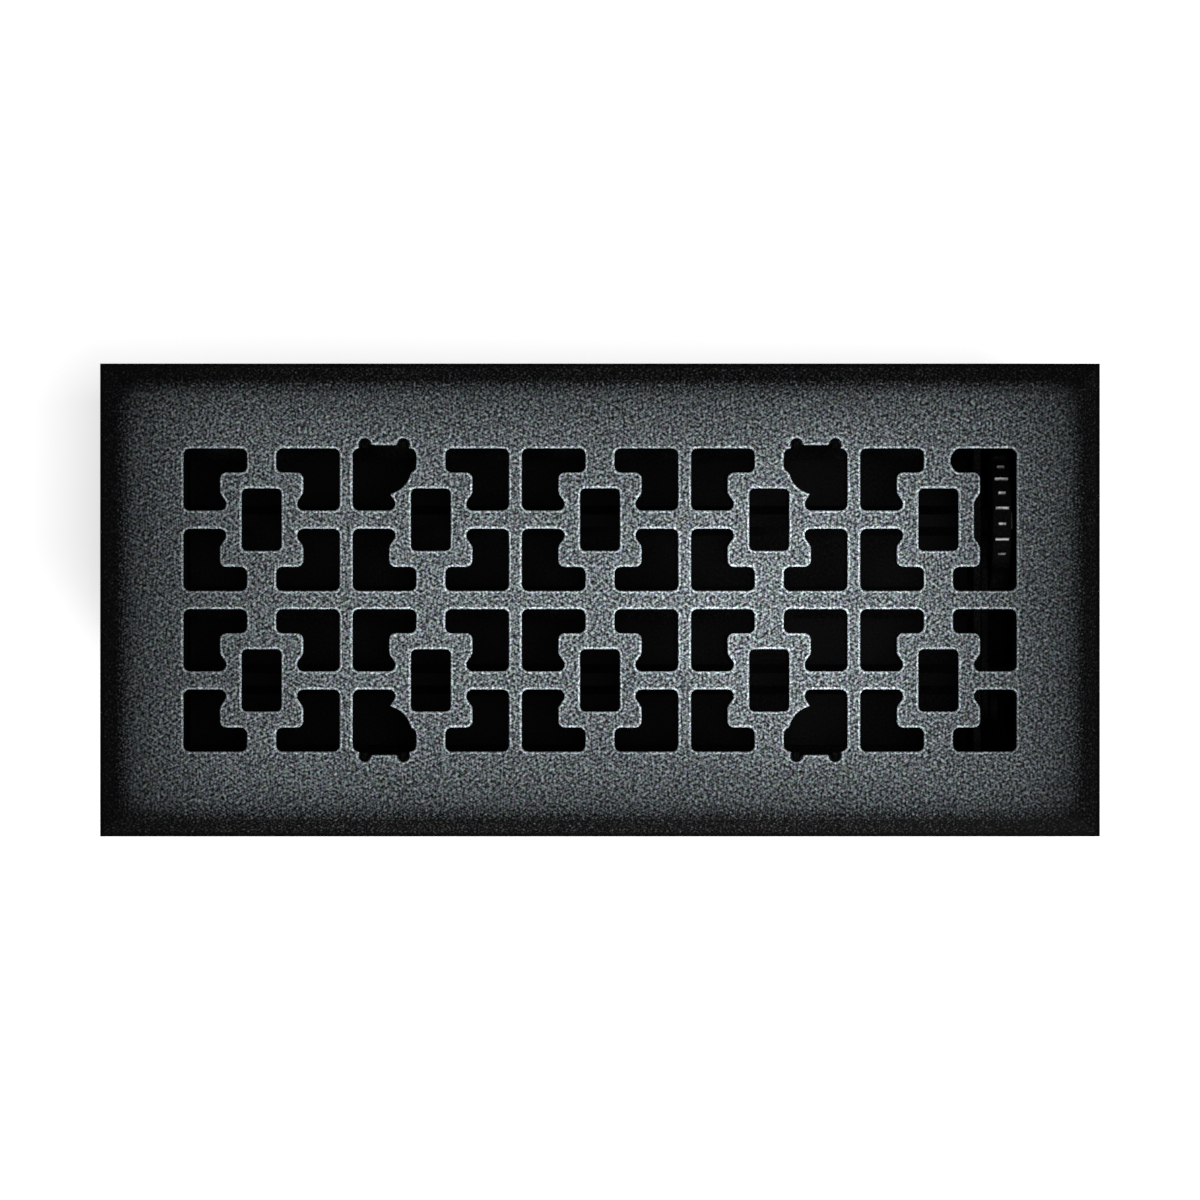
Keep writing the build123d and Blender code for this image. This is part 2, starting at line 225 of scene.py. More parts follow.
def merged_outline(*shapes):
    """Outline round overlapping shapes, with its inner corners softened.

    The shapes are cut into triangles together, and an edge of one triangle only is on the outline.
    The outline is resampled at even steps and convolved with a Gaussian along its length.
    """
    starts = np.cumsum([0] + [len(shape) for shape in shapes])
    rings = [list(range(a, b)) for a, b in zip(starts, starts[1:])]
    flat = np.concatenate(shapes)
    points, _, triangles, *_ = delaunay_2d_cdt(
        [Vector((z.real, z.imag)) for z in flat], [], rings, INSIDE_ONLY, SAME_POINT
    )
    sides = {(t[k], t[k - 2]) for t in triangles for k in range(3)}
    after = dict(side for side in sides if side[::-1] not in sides)
    chain = [min(after)]
    while after[chain[-1]] != chain[0]:
        chain.append(after[chain[-1]])
    outline = np.array([complex(*points[k]) for k in chain])
    travelled = np.concatenate([[0], np.cumsum(abs(np.roll(outline, -1) - outline))])
    count = round(travelled[-1] / OUTLINE_STEP)
    even = np.interp(
        np.arange(count) * travelled[-1] / count, travelled, np.append(outline, outline[0])
    )
    waves = np.fft.fftfreq(count, travelled[-1] / count)
    return np.fft.ifft(np.fft.fft(even) * np.exp(-2 * (pi * waves * OUTLINE_BLUR) ** 2))


def carried(outline, profile, painted_highlight=None):
    """Profile carried round an outline: row k is the outline pushed out by profile[k][0], at height
    profile[k][1]. The faces look to the left of the way that the profile runs."""
    rows = np.array([pushed_out(outline, out) for out, _ in profile])
    heights = np.broadcast_to(np.array([height for _, height in profile])[:, None], rows.shape)
    points = np.stack([rows.real, rows.imag, heights], -1).reshape(-1, 3)
    painted_highlight = np.zeros(len(profile)) if painted_highlight is None else np.asarray(painted_highlight)
    return points, grid_faces(*rows.shape, wrap_rows=False), np.repeat(painted_highlight, rows.shape[1])


def grid_faces(rows, columns, wrap_rows):
    """Quads of a grid that closes on itself along its columns, and along its rows if asked."""
    row = np.arange(rows if wrap_rows else rows - 1)[:, None]
    column = np.arange(columns)[None, :]
    below, beside = (row + 1) % rows, (column + 1) % columns
    quads = [row * columns + column, row * columns + beside, below * columns + beside,
             below * columns + column]
    return np.stack(np.broadcast_arrays(*quads), -1).reshape(-1, 4)


def flat_area(border, holes, height, upwards):
    """Level area inside a border and outside its holes, cut into triangles."""
    rings, start = [], 0
    for ring in [border, *holes]:
        rings.append(list(range(start, start + len(ring))))
        start += len(ring)
    flat = [Vector((z.real, z.imag)) for z in np.concatenate([border, *holes])]
    points, _, triangles, _, _, owners = delaunay_2d_cdt(flat, [], rings, INSIDE_ONLY, SAME_POINT)
    points = np.array([(x, y, height) for x, y in points])
    faces = np.array([t for t, owner in zip(triangles, owners) if owner == [0]])
    a, b, c = (points[faces[:, k], :2] for k in range(3))
    turn = np.cross(b - a, c - a)
    faces[(turn > 0) != upwards] = faces[(turn > 0) != upwards][:, ::-1]
    return points, faces, np.zeros(len(points))


def piece(name, patches, body, node, material):
    """One mesh from patches of points, faces and painted highlight, closed where they meet."""
    mesh = bpy.data.meshes.new(name)
    starts = np.cumsum([0] + [len(points) for points, _, _ in patches])
    points = np.concatenate([points for points, _, _ in patches]) * MM
    faces = []
    for (_, flats, _), start in zip(patches, starts):
        faces += (flats + start).tolist()
    mesh.from_pydata(points.tolist(), [], faces)
    painted_highlight = mesh.attributes.new("painted_highlight", "FLOAT", "POINT")
    painted_highlight.data.foreach_set("value", np.concatenate([painted_highlight for _, _, painted_highlight in patches]).astype(np.float32))
    welded = bmesh.new()
    welded.from_mesh(mesh)
    bmesh.ops.remove_doubles(welded, verts=welded.verts, dist=MERGE)
    welded.to_mesh(mesh)
    welded.free()
    mesh.shade_smooth()
    mesh.set_sharp_from_angle(angle=SHARP)
    mesh.materials.append(material)
    made = bpy.data.objects.new(name, mesh)
    bpy.context.scene.collection.objects.link(made)
    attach(made, body)
    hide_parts(node)


# Windows of one unit, in the corner towards +X and +Y
corner_window = rounded_outline(
    [
        ARM_X + 1j * REACH_Y,
        ARM_X + 1j * BLOCK_Y,
        BLOCK_X + 1j * BLOCK_Y,
        BLOCK_X + 1j * WAIST_END,
        WAIST_X + 1j * WAIST_START,
        WAIST_X + 1j * FOOT_Y,
        REACH_X + 1j * FOOT_Y,
        REACH_X + 1j * REACH_Y,
    ],
    WINDOW_ROUND,
)
centre_window = rounded_outline(
    [sx * CENTRE_X + 1j * sy * CENTRE_Y for sx, sy in ((1, 1), (-1, 1), (-1, -1), (1, -1))],
    CENTRE_ROUND,
)
lobe = circle(LOBE, LOBE_RADIUS)
lobed_window = merged_outline(
    corner_window,
    lobe.real + 1j * np.minimum(lobe.imag, LOBE_TOP),
    np.array([NOTCHES[0].real + 1j * LOBE.imag, NOTCHES[1].real + 1j * LOBE.imag,
              NOTCHES[1].real + 1j * LOBE_TOP, NOTCHES[0].real + 1j * LOBE_TOP]),
    *(circle(notch, NOTCH_RADIUS, NOTCH_STEPS) for notch in NOTCHES),
)
thumb_slot = merged_outline(
    corner_window,
    flipped(corner_window, 1, -1),
    np.array([WAIST_X - 1j * WAIST_START, REACH_X - 1j * WAIST_START,
              REACH_X + 1j * WAIST_START, WAIST_X + 1j * WAIST_START]),
    circle(SLOT_END, SLOT_END_RADIUS),
)


def throat(outline, notches):
    """Outline with each notch drawn in about its centre from its own radius to its throat's."""
    for notch in notches:
        near = abs(outline - notch) < NOTCH_RADIUS + OUTLINE_STEP / 2
        drawn = notch + (outline - notch) * NOTCH_THROAT / NOTCH_RADIUS
        outline = np.where(near, drawn, outline)
    return outline


def lattice():
    """Every window of the face as its outline and the centres of its notches."""
    for column in range(COLUMNS):
        from_middle = column - (COLUMNS - 1) / 2
        for row in (-1, 1):
            unit = from_middle * COLUMN_PITCH + 1j * row * ROW_PITCH / 2
            yield unit + centre_window, []
            for side, end in ((1, 1), (1, -1), (-1, 1), (-1, -1)):
                slotted = column == COLUMNS - 1 and row == 1 and side == 1
                if slotted and end == 1:
                    yield unit + thumb_slot, []
                elif from_middle * side == 1 and end == row:
                    notches = [unit + side * z.real + 1j * end * z.imag for z in NOTCHES]
                    yield unit + flipped(lobed_window, side, end), notches
                elif not slotted:
                    yield unit + flipped(corner_window, side, end), []


def face_patches():
    """Rim, windows, flat top and flat underside of the face.

    The rim's profile runs from the underside over the seat land and the lip, up the bevel and over
    an arc to the top. A window's runs over a quarter round and down its wall.
    """
    corners = HALF_LENGTH + 1j * HALF_WIDTH
    outline = np.array([-corners, corners.conjugate(), corners, -corners.conjugate()])
    swing = np.linspace(0, BEVEL_ANGLE, BEVEL_STEPS + 1)
    arc_run = BEVEL_RADIUS * sin(BEVEL_ANGLE)
    bevel_rise = FACE_TOP - LIP_HEIGHT - BEVEL_RADIUS * (1 - cos(BEVEL_ANGLE))
    bevel_run = bevel_rise / tan(BEVEL_ANGLE)
    profile = [
        (-SEAT_LAND - HOLLOW_RUN, UNDERSIDE),
        (-SEAT_LAND, 0),
        (-SEAT_EASE, 0),
        (-SEAT_EASE * 0.3, SEAT_EASE * 0.3),
        (0, SEAT_EASE),
        (0, LIP_HEIGHT - LIP_ROUND),
        (-LIP_TURN_START, LIP_HEIGHT - LIP_ROUND / 2),
        (-LIP_TURN_MIDDLE, LIP_HEIGHT + LIP_TURN_MIDDLE * tan(BEVEL_ANGLE) - LIP_TURN_SAG),
        (-LIP_TURN_END, LIP_HEIGHT + LIP_TURN_END * tan(BEVEL_ANGLE)),
    ]
    profile += [
        (
            -bevel_run - arc_run + BEVEL_RADIUS * sin(angle),
            FACE_TOP - BEVEL_RADIUS * (1 - cos(angle)),
        )
        for angle in swing[::-1]
    ]
    patches = [carried(outline, profile)]
    top_holes, under_holes = [], []
    round_over = np.linspace(0, pi / 2, EDGE_STEPS + 1)
    edge = [(EDGE_ROUND + HIGHLIGHT_FADE, FACE_TOP)]
    edge += [(EDGE_ROUND * (1 - sin(a)), FACE_TOP - EDGE_ROUND * (1 - cos(a))) for a in round_over]
    # painted highlight along each window's rounded edge: full on the round, less at its top and its wall,
    # none on the flat or below
    painted_highlight = [0, HIGHLIGHT_AT_TOP] + [1] * (EDGE_STEPS - 2) + [HIGHLIGHT_AT_WALL, 0]
    for window, notches in lattice():
        inner = throat(window, notches)
        patches.append(carried(window, [*edge, (0, NOTCH_LEDGE)], [*painted_highlight, 0]))
        if notches:
            # ledge of the notches: from the window's outline in to the throat's
            rows = np.array([window, inner])
            ledge = np.stack([rows.real, rows.imag, np.full(rows.shape, NOTCH_LEDGE)], -1)
            faces = grid_faces(*rows.shape, wrap_rows=False)
            patches.append((ledge.reshape(-1, 3), faces, np.zeros(rows.size)))
        patches.append(carried(inner, [(0, NOTCH_LEDGE), (0, UNDERSIDE)]))
        top_holes.append(pushed_out(window, edge[0][0]))
        under_holes.append(inner)
    patches.append(flat_area(pushed_out(outline, profile[-1][0]), top_holes, FACE_TOP, True))
    patches.append(flat_area(pushed_out(outline, profile[0][0]), under_holes, UNDERSIDE, False))
    return patches


def squircle(side, angle):
    """Radius of a square with eased corners: half / (|cos|^p + |sin|^p)^(1/p), for p the squareness."""
    powers = abs(np.cos(angle)) ** SQUARENESS + abs(np.sin(angle)) ** SQUARENESS
    return side / 2 / powers ** (1 / SQUARENESS)


def smooth_step(value, low, high):
    """0 below low, 1 above high and 3t^2 - 2t^3 between."""
    t = np.clip((value - low) / (high - low), 0, 1)
    return t * t * (3 - 2 * t)


def wheel_patches():
    """Thumb wheel as one closed section turned about the hinge line, and its crank pin.

    The section runs from the bore over the hub, the web's outer face, the rim with its ribs and the
    hollow inner face back to the bore. A point's radius is the section's, squared off at the hub and
    raised at the rim by the rib that the angle falls on.
    """
    angle = np.linspace(0, 2 * pi, RIBS * RIB_STEPS, endpoint=False)
    rim = WHEEL_RADIUS - RIB_HEIGHT
    hub, bore = squircle(HUB_SIDE, angle), squircle(BORE_SIDE, angle)
    ring = np.ones_like(angle)
    across = np.linspace(WHEEL_LEFT + WHEEL_EASE, WHEEL_RIGHT - WHEEL_EASE, WHEEL_ROWS)
    # ribs: long and short by turns, with eased ends and flanks
    spot = (angle - RIB_PHASE) * RIBS / (2 * pi)
    number = np.round(spot)
    off_crest = abs(spot - number) * 2 * pi / RIBS * rim
    half_length = np.where(number % 2 == 0, SHORT_RIB, LONG_RIB) / 2
    crest = 1 - smooth_step(off_crest, 0, RIB_FLANK)
    off_middle = abs(across - (WHEEL_LEFT + WHEEL_RIGHT) / 2)[:, None]
    ends = 1 - smooth_step(off_middle, half_length - RIB_END_INSIDE, half_length + RIB_END_OUTSIDE)
    raised = crest * ends
    sections = [
        (WHEEL_LOW[0], bore),
        (WHEEL_LOW[0], hub),
        (WHEEL_LEFT, hub),
        (WHEEL_LEFT, (rim - WHEEL_EASE) * ring),
        (WHEEL_LEFT + EASE_TURN, (rim - EASE_TURN) * ring),
    ]
    ribbed = slice(len(sections), len(sections) + WHEEL_ROWS)
    sections += [(x, rim + RIB_HEIGHT * lift) for x, lift in zip(across, raised)]
    sections += [
        (WHEEL_RIGHT - EASE_TURN, (rim - EASE_TURN) * ring),
        (WHEEL_RIGHT, (rim - WHEEL_EASE) * ring),
        (WHEEL_RIGHT, (rim - RIM_THICKNESS) * ring),
        (WHEEL_LEFT + WEB, (rim - RIM_THICKNESS) * ring),
        (WHEEL_LEFT + WEB, hub),
        (WHEEL_HIGH[0], hub),
        (WHEEL_HIGH[0], bore),
    ]
    x = np.broadcast_to(np.array([x for x, _ in sections])[:, None], (len(sections), len(angle)))
    radius = np.array([radius for _, radius in sections])
    points = np.stack(
        [x, HINGE_Y + radius * np.cos(angle), HINGE_Z + radius * np.sin(angle)], -1
    ).reshape(-1, 3)
    painted_highlight = np.zeros(radius.shape)
    # painted highlight on the ribs' crests, over the ribs around the top of the wheel
    from_top = (angle - pi / 2 + pi) % (2 * pi) - pi
    lit_crests = smooth_step(from_top, *LIT_CRESTS_FROM) * (1 - smooth_step(from_top, *LIT_CRESTS_TO))
    painted_highlight[ribbed] = smooth_step(raised, CREST_FROM, CREST_TO) * lit_crests
    turned = points, grid_faces(*radius.shape, wrap_rows=True)[:, ::-1], painted_highlight.ravel()
    # crank pin: a short round bar with an eased end
    turn = np.linspace(0, 2 * pi, CRANK_PIN_STEPS, endpoint=False)
    bar = [
        (WHEEL_LEFT + WEB / 2, 0.0),
        (WHEEL_LEFT + WEB / 2, CRANK_PIN_RADIUS),
        (CRANK_PIN_END + CRANK_PIN_EASE, CRANK_PIN_RADIUS),
        (CRANK_PIN_END, CRANK_PIN_RADIUS - CRANK_PIN_EASE),
        (CRANK_PIN_END, 0.0),
    ]
    pin = np.stack(
        [
            np.repeat([x for x, _ in bar], len(turn)).reshape(len(bar), -1),
            LINK_HINGE[1] + np.outer([r for _, r in bar], np.cos(turn)),
            LINK_HINGE[2] + np.outer([r for _, r in bar], np.sin(turn)),
        ],
        -1,
    )
    bar_faces = grid_faces(len(bar), len(turn), wrap_rows=False)
    return [turned, (pin.reshape(-1, 3), bar_faces, np.zeros(pin.shape[0] * pin.shape[1]))]


# Finishes: the pebbled skin, the greys of the coat and the blacks, with painted shade and painted
# highlight among them
PEBBLE_STEP = 1.5
PEBBLE_RIM = 0.5
PEBBLE_CURVE = 2.4
LEAST_LEVEL = 0.1
HOLLOW, CREST = 0.3, 0.7
HUE_SPREAD, HUE_PLACE = (0.5, 0.5, 0.5), (1, 1, 1)
COAT_GREY = (0.149, 0.169, 0.179)
# painted shade: the blacks of the bevel and of the windows' walls, far darker than the coat
BEVEL_SHADE_BLACK = (0.0046, 0.0047, 0.0047)
WALL_SHADE_BLACK = (0.0024, 0.0026, 0.0027)
SATIN_BLACK = (0.012, 0.0122, 0.0126)
# painted shade: blacks of the box's inside, the blades' tops and the wheel and its linkage, deeper than
# the plastic
BOX_SHADE_BLACK = (0.002, 0.002, 0.0021)
SHADE_DEEP_BLACK = (0.0012, 0.0012, 0.0013)
# painted highlight on the wheel's crests
HIGHLIGHT_GREY = (0.46, 0.465, 0.47)
DRAWN_STEEL = (0.05, 0.05, 0.052)

# Where the coat's greys change, in millimetres from an end, a side, the nearest edge or the top: a painted
# highlight on the flat top fades towards the border, and painted shade darkens the bevel and the walls
END_FADE, SIDE_FADE = 53, 27
END_CROWN, SIDE_CROWN = (4.0, 11.3), (3.2, 10.6)
TOP_FROM, TOP_TO = 1.1, 0.6
UNDER_FROM, UNDER_TO = 3.2, 3.6
UNDER_LOW, UNDER_HIGH = 0.05, 0.25
# painted shade on the bevel: darker towards the ends and darkest on the lip
BEVEL_FADE, BEVEL_AT_END = 75, 0.34
LIP_FROM, LIP_TO, LIP_SHADE = 0.7, 1.5, 0.15
BEVEL_GRAIN = 1.8
HUE_SHARE = 0.2
# painted highlight along the windows' edges: the grain it keeps and how much brighter it is
RIM_GRAIN, RIM_SHEEN = 0.45, 3.6

# Depth below the box's outer face at which its inside, painted darker as shade, begins and its outer skin
# is whole
SKIN_FROM, SKIN_TO = 0.9, 0.6

# Widths over which the satin black of the duct side comes in, past the painted shade above it
SINK_BLEND, AIR_WAY_BLEND = 0.3, 0.5


def put(tree, kind, inputs=None, **settings):
    """New node of a tree. An input takes a constant, or a socket that is then linked to it."""
    made = tree.nodes.new(kind)
    for name, value in settings.items():
        setattr(made, name, value)
    for name, value in (inputs or {}).items():
        if isinstance(value, bpy.types.NodeSocket):
            tree.links.new(value, made.inputs[name])
        else:
            made.inputs[name].default_value = value
    return made


def reckon(tree, operation, *values):
    """One step of arithmetic, as a socket."""
    return put(tree, "ShaderNodeMath", dict(enumerate(values)), operation=operation).outputs[0]


def between(tree, value, low, high, to_low=0.0, to_high=1.0):
    """A value's smooth way from one range to another, as a socket."""
    inputs = {"Value": value, "From Min": low, "From Max": high, "To Min": to_low, "To Max": to_high}
    return put(tree, "ShaderNodeMapRange", inputs, interpolation_type="SMOOTHSTEP").outputs["Result"]


def scaled(tree, colour, amount):
    """A colour times a value, as a socket."""
    inputs = {0: colour, "Scale": amount}
    return put(tree, "ShaderNodeVectorMath", inputs, operation="SCALE").outputs[0]


def mixed(tree, factor, first, second, blend="MIX"):
    """Two colours mixed, as a socket."""
    made = put(tree, "ShaderNodeMix", {"Factor": factor}, data_type="RGBA", blend_type=blend)
    for name, value in ((6, first), (7, second)):
        if isinstance(value, bpy.types.NodeSocket):
            tree.links.new(value, made.inputs[name])
        else:
            made.inputs[name].default_value = value
    return made.outputs[2]


def group(name, inputs, outputs):
    """Empty node group with its sockets, and its two end nodes."""
    tree = bpy.data.node_groups.new(name, "ShaderNodeTree")
    for way, sockets in (("INPUT", inputs), ("OUTPUT", outputs)):
        for label, kind in sockets.items():
            tree.interface.new_socket(name=label, in_out=way, socket_type=f"NodeSocket{kind}")
    return tree, put(tree, "NodeGroupInput").outputs, put(tree, "NodeGroupOutput").inputs


def grain_group():
    """Pebbled skin: noise less half the mean of its three neighbours a pebble away is the height, so that
    each pebble has a rim of its own, and (1 + contrast * (height - 0.5)) ^ 2.4, which lies evenly about
    1 to the eye, is a factor for the colour. The hue is noise of twice the size from another place, so
    that it doesn't follow the height."""
    tree, given, out = group(
        "pebbled_skin",
        {"Position": "Vector", "Scale": "Float", "Contrast": "Float"},
        {"Tone": "Float", "Height": "Float", "Hue": "Color"},
    )

    def noise(position):
        """Noise of one size at a position."""
        inputs = {"Vector": position, "Scale": given["Scale"], "Detail": 0.0}
        return put(tree, "ShaderNodeTexNoise", inputs).outputs

    height = reckon(tree, "ADD", noise(given["Position"])["Fac"], PEBBLE_RIM / 2)
    step = reckon(tree, "DIVIDE", PEBBLE_STEP, given["Scale"])
    for turn in (0, 2 * pi / 3, 4 * pi / 3):
        aside = scaled(tree, (cos(turn), sin(turn), 0), step)
        beside = put(tree, "ShaderNodeVectorMath", {0: given["Position"], 1: aside}).outputs[0]
        rim = reckon(tree, "MULTIPLY", noise(beside)["Fac"], PEBBLE_RIM / 3)
        height = reckon(tree, "SUBTRACT", height, rim)
    swing = reckon(tree, "MULTIPLY", reckon(tree, "SUBTRACT", height, 0.5), given["Contrast"])
    level = reckon(tree, "MAXIMUM", reckon(tree, "ADD", 1.0, swing), LEAST_LEVEL)
    tree.links.new(reckon(tree, "POWER", level, PEBBLE_CURVE), out["Tone"])
    tree.links.new(height, out["Height"])
    moved = {0: given["Position"], 1: HUE_SPREAD, 2: HUE_PLACE}
    elsewhere = put(tree, "ShaderNodeVectorMath", moved, operation="MULTIPLY_ADD").outputs[0]
    tree.links.new(noise(elsewhere)["Color"], out["Hue"])
    return tree


def edge_highlight_group():
    """Painted highlight: the colour goes over to the highlight colour by the mask, which the grain's
    hollows halve.
    """
    tree, given, out = group(
        "painted_edge_highlight",
        {"Colour": "Color", "Rubbed": "Color", "Mask": "Float", "Grain": "Float"},
        {"Colour": "Color"},
    )
    broken = reckon(tree, "MULTIPLY", given["Mask"], between(tree, given["Grain"], 0.3, 0.6, 0.5, 1.0))
    tree.links.new(mixed(tree, broken, given["Colour"], given["Rubbed"]), out["Colour"])
    return tree


PEBBLED, EDGE_HIGHLIGHT = grain_group(), edge_highlight_group()


class Finish:
    """A material being built: its tree, its shader and the position that its patterns read."""

    def __init__(self, name):
        self.material = bpy.data.materials.new(name)
        self.material.use_nodes = True
        self.tree = self.material.node_tree
        self.shader = self.tree.nodes["Principled BSDF"]
        self.position = put(self.tree, "ShaderNodeTexCoord").outputs["Object"]

    def shared(self, effect, **inputs):
        """A shared effect placed in this material with its own values."""
        return put(self.tree, "ShaderNodeGroup", inputs, node_tree=effect).outputs

    def painted_highlight(self):
        """How strongly the surface here carries the painted highlight."""
        return put(self.tree, "ShaderNodeAttribute", attribute_name="painted_highlight").outputs["Fac"]

    def set(self, **inputs):
        """Constants and links of the shader, with _ for the spaces in a socket's name."""
        for name, value in inputs.items():
            socket = self.shader.inputs[name.replace("_", " ")]
            if isinstance(value, bpy.types.NodeSocket):
                self.tree.links.new(value, socket)
            else:
                socket.default_value = value

    def bump(self, height, strength, depth):
        """Bumps of a depth in millimetres."""
        inputs = {"Height": height, "Strength": strength, "Distance": depth * MM}
        self.set(Normal=put(self.tree, "ShaderNodeBump", inputs).outputs["Normal"])


def face_coat():
    """Dark pebbled powder coat: near black with painted shade on the bevel and the windows' walls, greyer
    with a painted highlight towards the middle of the face, and a painted highlight along the windows'
    edges.
    """
    coat = Finish("face_coat")
    tree = coat.tree
    skin = coat.shared(PEBBLED, Position=coat.position, Scale=1750.0, Contrast=2.35)
    place = put(tree, "ShaderNodeSeparateXYZ", {0: coat.position}).outputs
    from_end = reckon(tree, "SUBTRACT", HALF_LENGTH * MM, reckon(tree, "ABSOLUTE", place["X"]))
    from_side = reckon(tree, "SUBTRACT", HALF_WIDTH * MM, reckon(tree, "ABSOLUTE", place["Y"]))

    def fallen(distance, length):
        """e^(-4 distance / length), whose fourth root falls to 1 / e in that length."""
        return reckon(tree, "EXPONENT", reckon(tree, "MULTIPLY", distance, -4 / (length * MM)))

    # painted highlight: 1 at the middle of the face, less towards the border: 1 - fourth root of the two
    # falls
    falls = reckon(tree, "ADD", fallen(from_end, END_FADE), fallen(from_side, SIDE_FADE))
    middle = reckon(tree, "SUBTRACT", 1.0, reckon(tree, "POWER", falls, 1 / 4))
    inwards = reckon(
        tree,
        "MINIMUM",
        between(tree, from_end, *(end * MM for end in END_CROWN)),
        between(tree, from_side, *(end * MM for end in SIDE_CROWN)),
    )
    upwards = between(tree, place["Z"], (FACE_TOP - TOP_FROM) * MM, (FACE_TOP - TOP_TO) * MM)
    on_top = reckon(tree, "MINIMUM", inwards, upwards)
    from_edge = reckon(tree, "MINIMUM", from_end, from_side)
    set_in = between(tree, from_edge, UNDER_FROM * MM, UNDER_TO * MM)
    low_down = between(
        tree, place["Z"], (UNDERSIDE + UNDER_LOW) * MM, (UNDERSIDE + UNDER_HIGH) * MM, 1.0, 0.0
    )
    underneath = reckon(tree, "MINIMUM", set_in, low_down)
    # painted shade: the bevel is near black, darker towards the two ends, and darkest on its lip; the
    # windows' walls are near black too
    lengthways = between(tree, from_end, 0.0, BEVEL_FADE * MM, BEVEL_AT_END, 1.0)
    off_lip = between(tree, from_edge, LIP_FROM * MM, LIP_TO * MM, LIP_SHADE, 1.0)
    bevel = scaled(tree, BEVEL_SHADE_BLACK, reckon(tree, "MULTIPLY", lengthways, off_lip))
    dark = mixed(tree, inwards, bevel, (*WALL_SHADE_BLACK, 1))
    flat = scaled(tree, COAT_GREY, middle)
    ground = mixed(tree, underneath, mixed(tree, on_top, dark, flat), (*SATIN_BLACK, 1))
    # grain stands out more on the bevel and the windows' walls
    even = reckon(tree, "MAXIMUM", on_top, underneath)
    tone = reckon(tree, "POWER", skin["Tone"], between(tree, even, 0.0, 1.0, BEVEL_GRAIN, 1.0))
    speckled = scaled(tree, ground, tone)
    hued = mixed(tree, HUE_SHARE, speckled, skin["Hue"], "OVERLAY")
    # painted highlight along the windows' edges, by the edge mask
    rim_highlight = scaled(tree, mixed(tree, RIM_GRAIN, ground, hued), RIM_SHEEN)
    highlighted = coat.shared(EDGE_HIGHLIGHT, Colour=hued, Rubbed=rim_highlight, Mask=coat.painted_highlight(), Grain=skin["Height"])
    coat.set(
        Base_Color=highlighted["Colour"],
        Roughness=between(tree, skin["Height"], HOLLOW, CREST, 0.5, 0.72),
        Specular_IOR_Level=0.02,
    )
    coat.bump(skin["Height"], 0.5, 0.3)
    return coat.material


def sunk(tree, position, drop):
    """1 where a point lies a drop or more below the dampers' hinge lines, and 0 a little above that."""
    height = put(tree, "ShaderNodeSeparateXYZ", {0: position}).outputs["Z"]
    level = HINGE_Z - drop
    return between(tree, height, level * MM, (level + SINK_BLEND) * MM, 1.0, 0.0)


def blade_underside(tree, position):
    """1 on the side of a closed blade that the duct sees, and 0 on its upper side, which is painted shade.
    """
    return sunk(tree, position, BLADE_EDGE / 2)


def past_box(tree, position):
    """How far a point lies past the box's outer ends or sides, in metres, and below 0 inside them."""
    place = put(tree, "ShaderNodeSeparateXYZ", {0: position}).outputs
    past_end = reckon(tree, "SUBTRACT", reckon(tree, "ABSOLUTE", place["X"]), BOX_END)
    past_side = reckon(tree, "SUBTRACT", reckon(tree, "ABSOLUTE", place["Y"]), BOX_SIDE)
    return reckon(tree, "MAXIMUM", past_end, past_side)


def outside_of_box(tree, position):
    """1 on the outer skin of the box's walls and 0 inside it."""
    return between(tree, past_box(tree, position), -SKIN_FROM * MM, -SKIN_TO * MM)


def box_skin(tree, position):
    """1 on the outer skin of the box and in the air way below its stops, and 0 in the rest of it, which is
    painted shade.
    """
    along = put(tree, "ShaderNodeSeparateXYZ", {0: position}).outputs["X"]
    air_way = between(tree, along, (AIR_WAY_END - AIR_WAY_BLEND) * MM, AIR_WAY_END * MM, 1.0, 0.0)
    inside = reckon(tree, "MINIMUM", air_way, sunk(tree, position, STOP_BOTTOM))
    return reckon(tree, "MAXIMUM", outside_of_box(tree, position), inside)


def moulded_plastic(name, colour, roughness, gloss, highlight_tint=None, satin=None):
    """Black moulded plastic with a fine matt skin: a painted highlight where the highlight mask says so,
    and satin black where the mask that it is given says so. The colour that it is given, deeper black than
    the plastic, is painted shade in the rest."""
    plastic = Finish(name)
    tree = plastic.tree
    skin = plastic.shared(PEBBLED, Position=plastic.position, Scale=1700.0, Contrast=1.2)
    cloud = plastic.shared(PEBBLED, Position=plastic.position, Scale=45.0, Contrast=0.5)
    shade = scaled(tree, scaled(tree, colour, skin["Tone"]), cloud["Tone"])
    if highlight_tint:
        highlight_noise = plastic.shared(PEBBLED, Position=plastic.position, Scale=700.0, Contrast=1.0)
        patchy = between(tree, highlight_noise["Height"], 0.38, 0.62, 0.2, 0.7)
        shade = plastic.shared(
            EDGE_HIGHLIGHT, Colour=shade, Rubbed=highlight_tint, Mask=plastic.painted_highlight(), Grain=patchy
        )["Colour"]
    if satin:
        polished = satin(tree, plastic.position)
        skin_tone = scaled(tree, scaled(tree, SATIN_BLACK, skin["Tone"]), cloud["Tone"])
        shade = mixed(tree, polished, shade, skin_tone)
        plastic.set(Coat_Weight=reckon(tree, "MULTIPLY", polished, 0.4), Coat_Roughness=0.38)
    plastic.set(
        Base_Color=shade,
        Roughness=between(tree, cloud["Height"], HOLLOW, CREST, roughness - 0.06, roughness + 0.06),
        Specular_IOR_Level=gloss,
    )
    plastic.bump(skin["Height"], 0.35, 0.12)
    return plastic.material


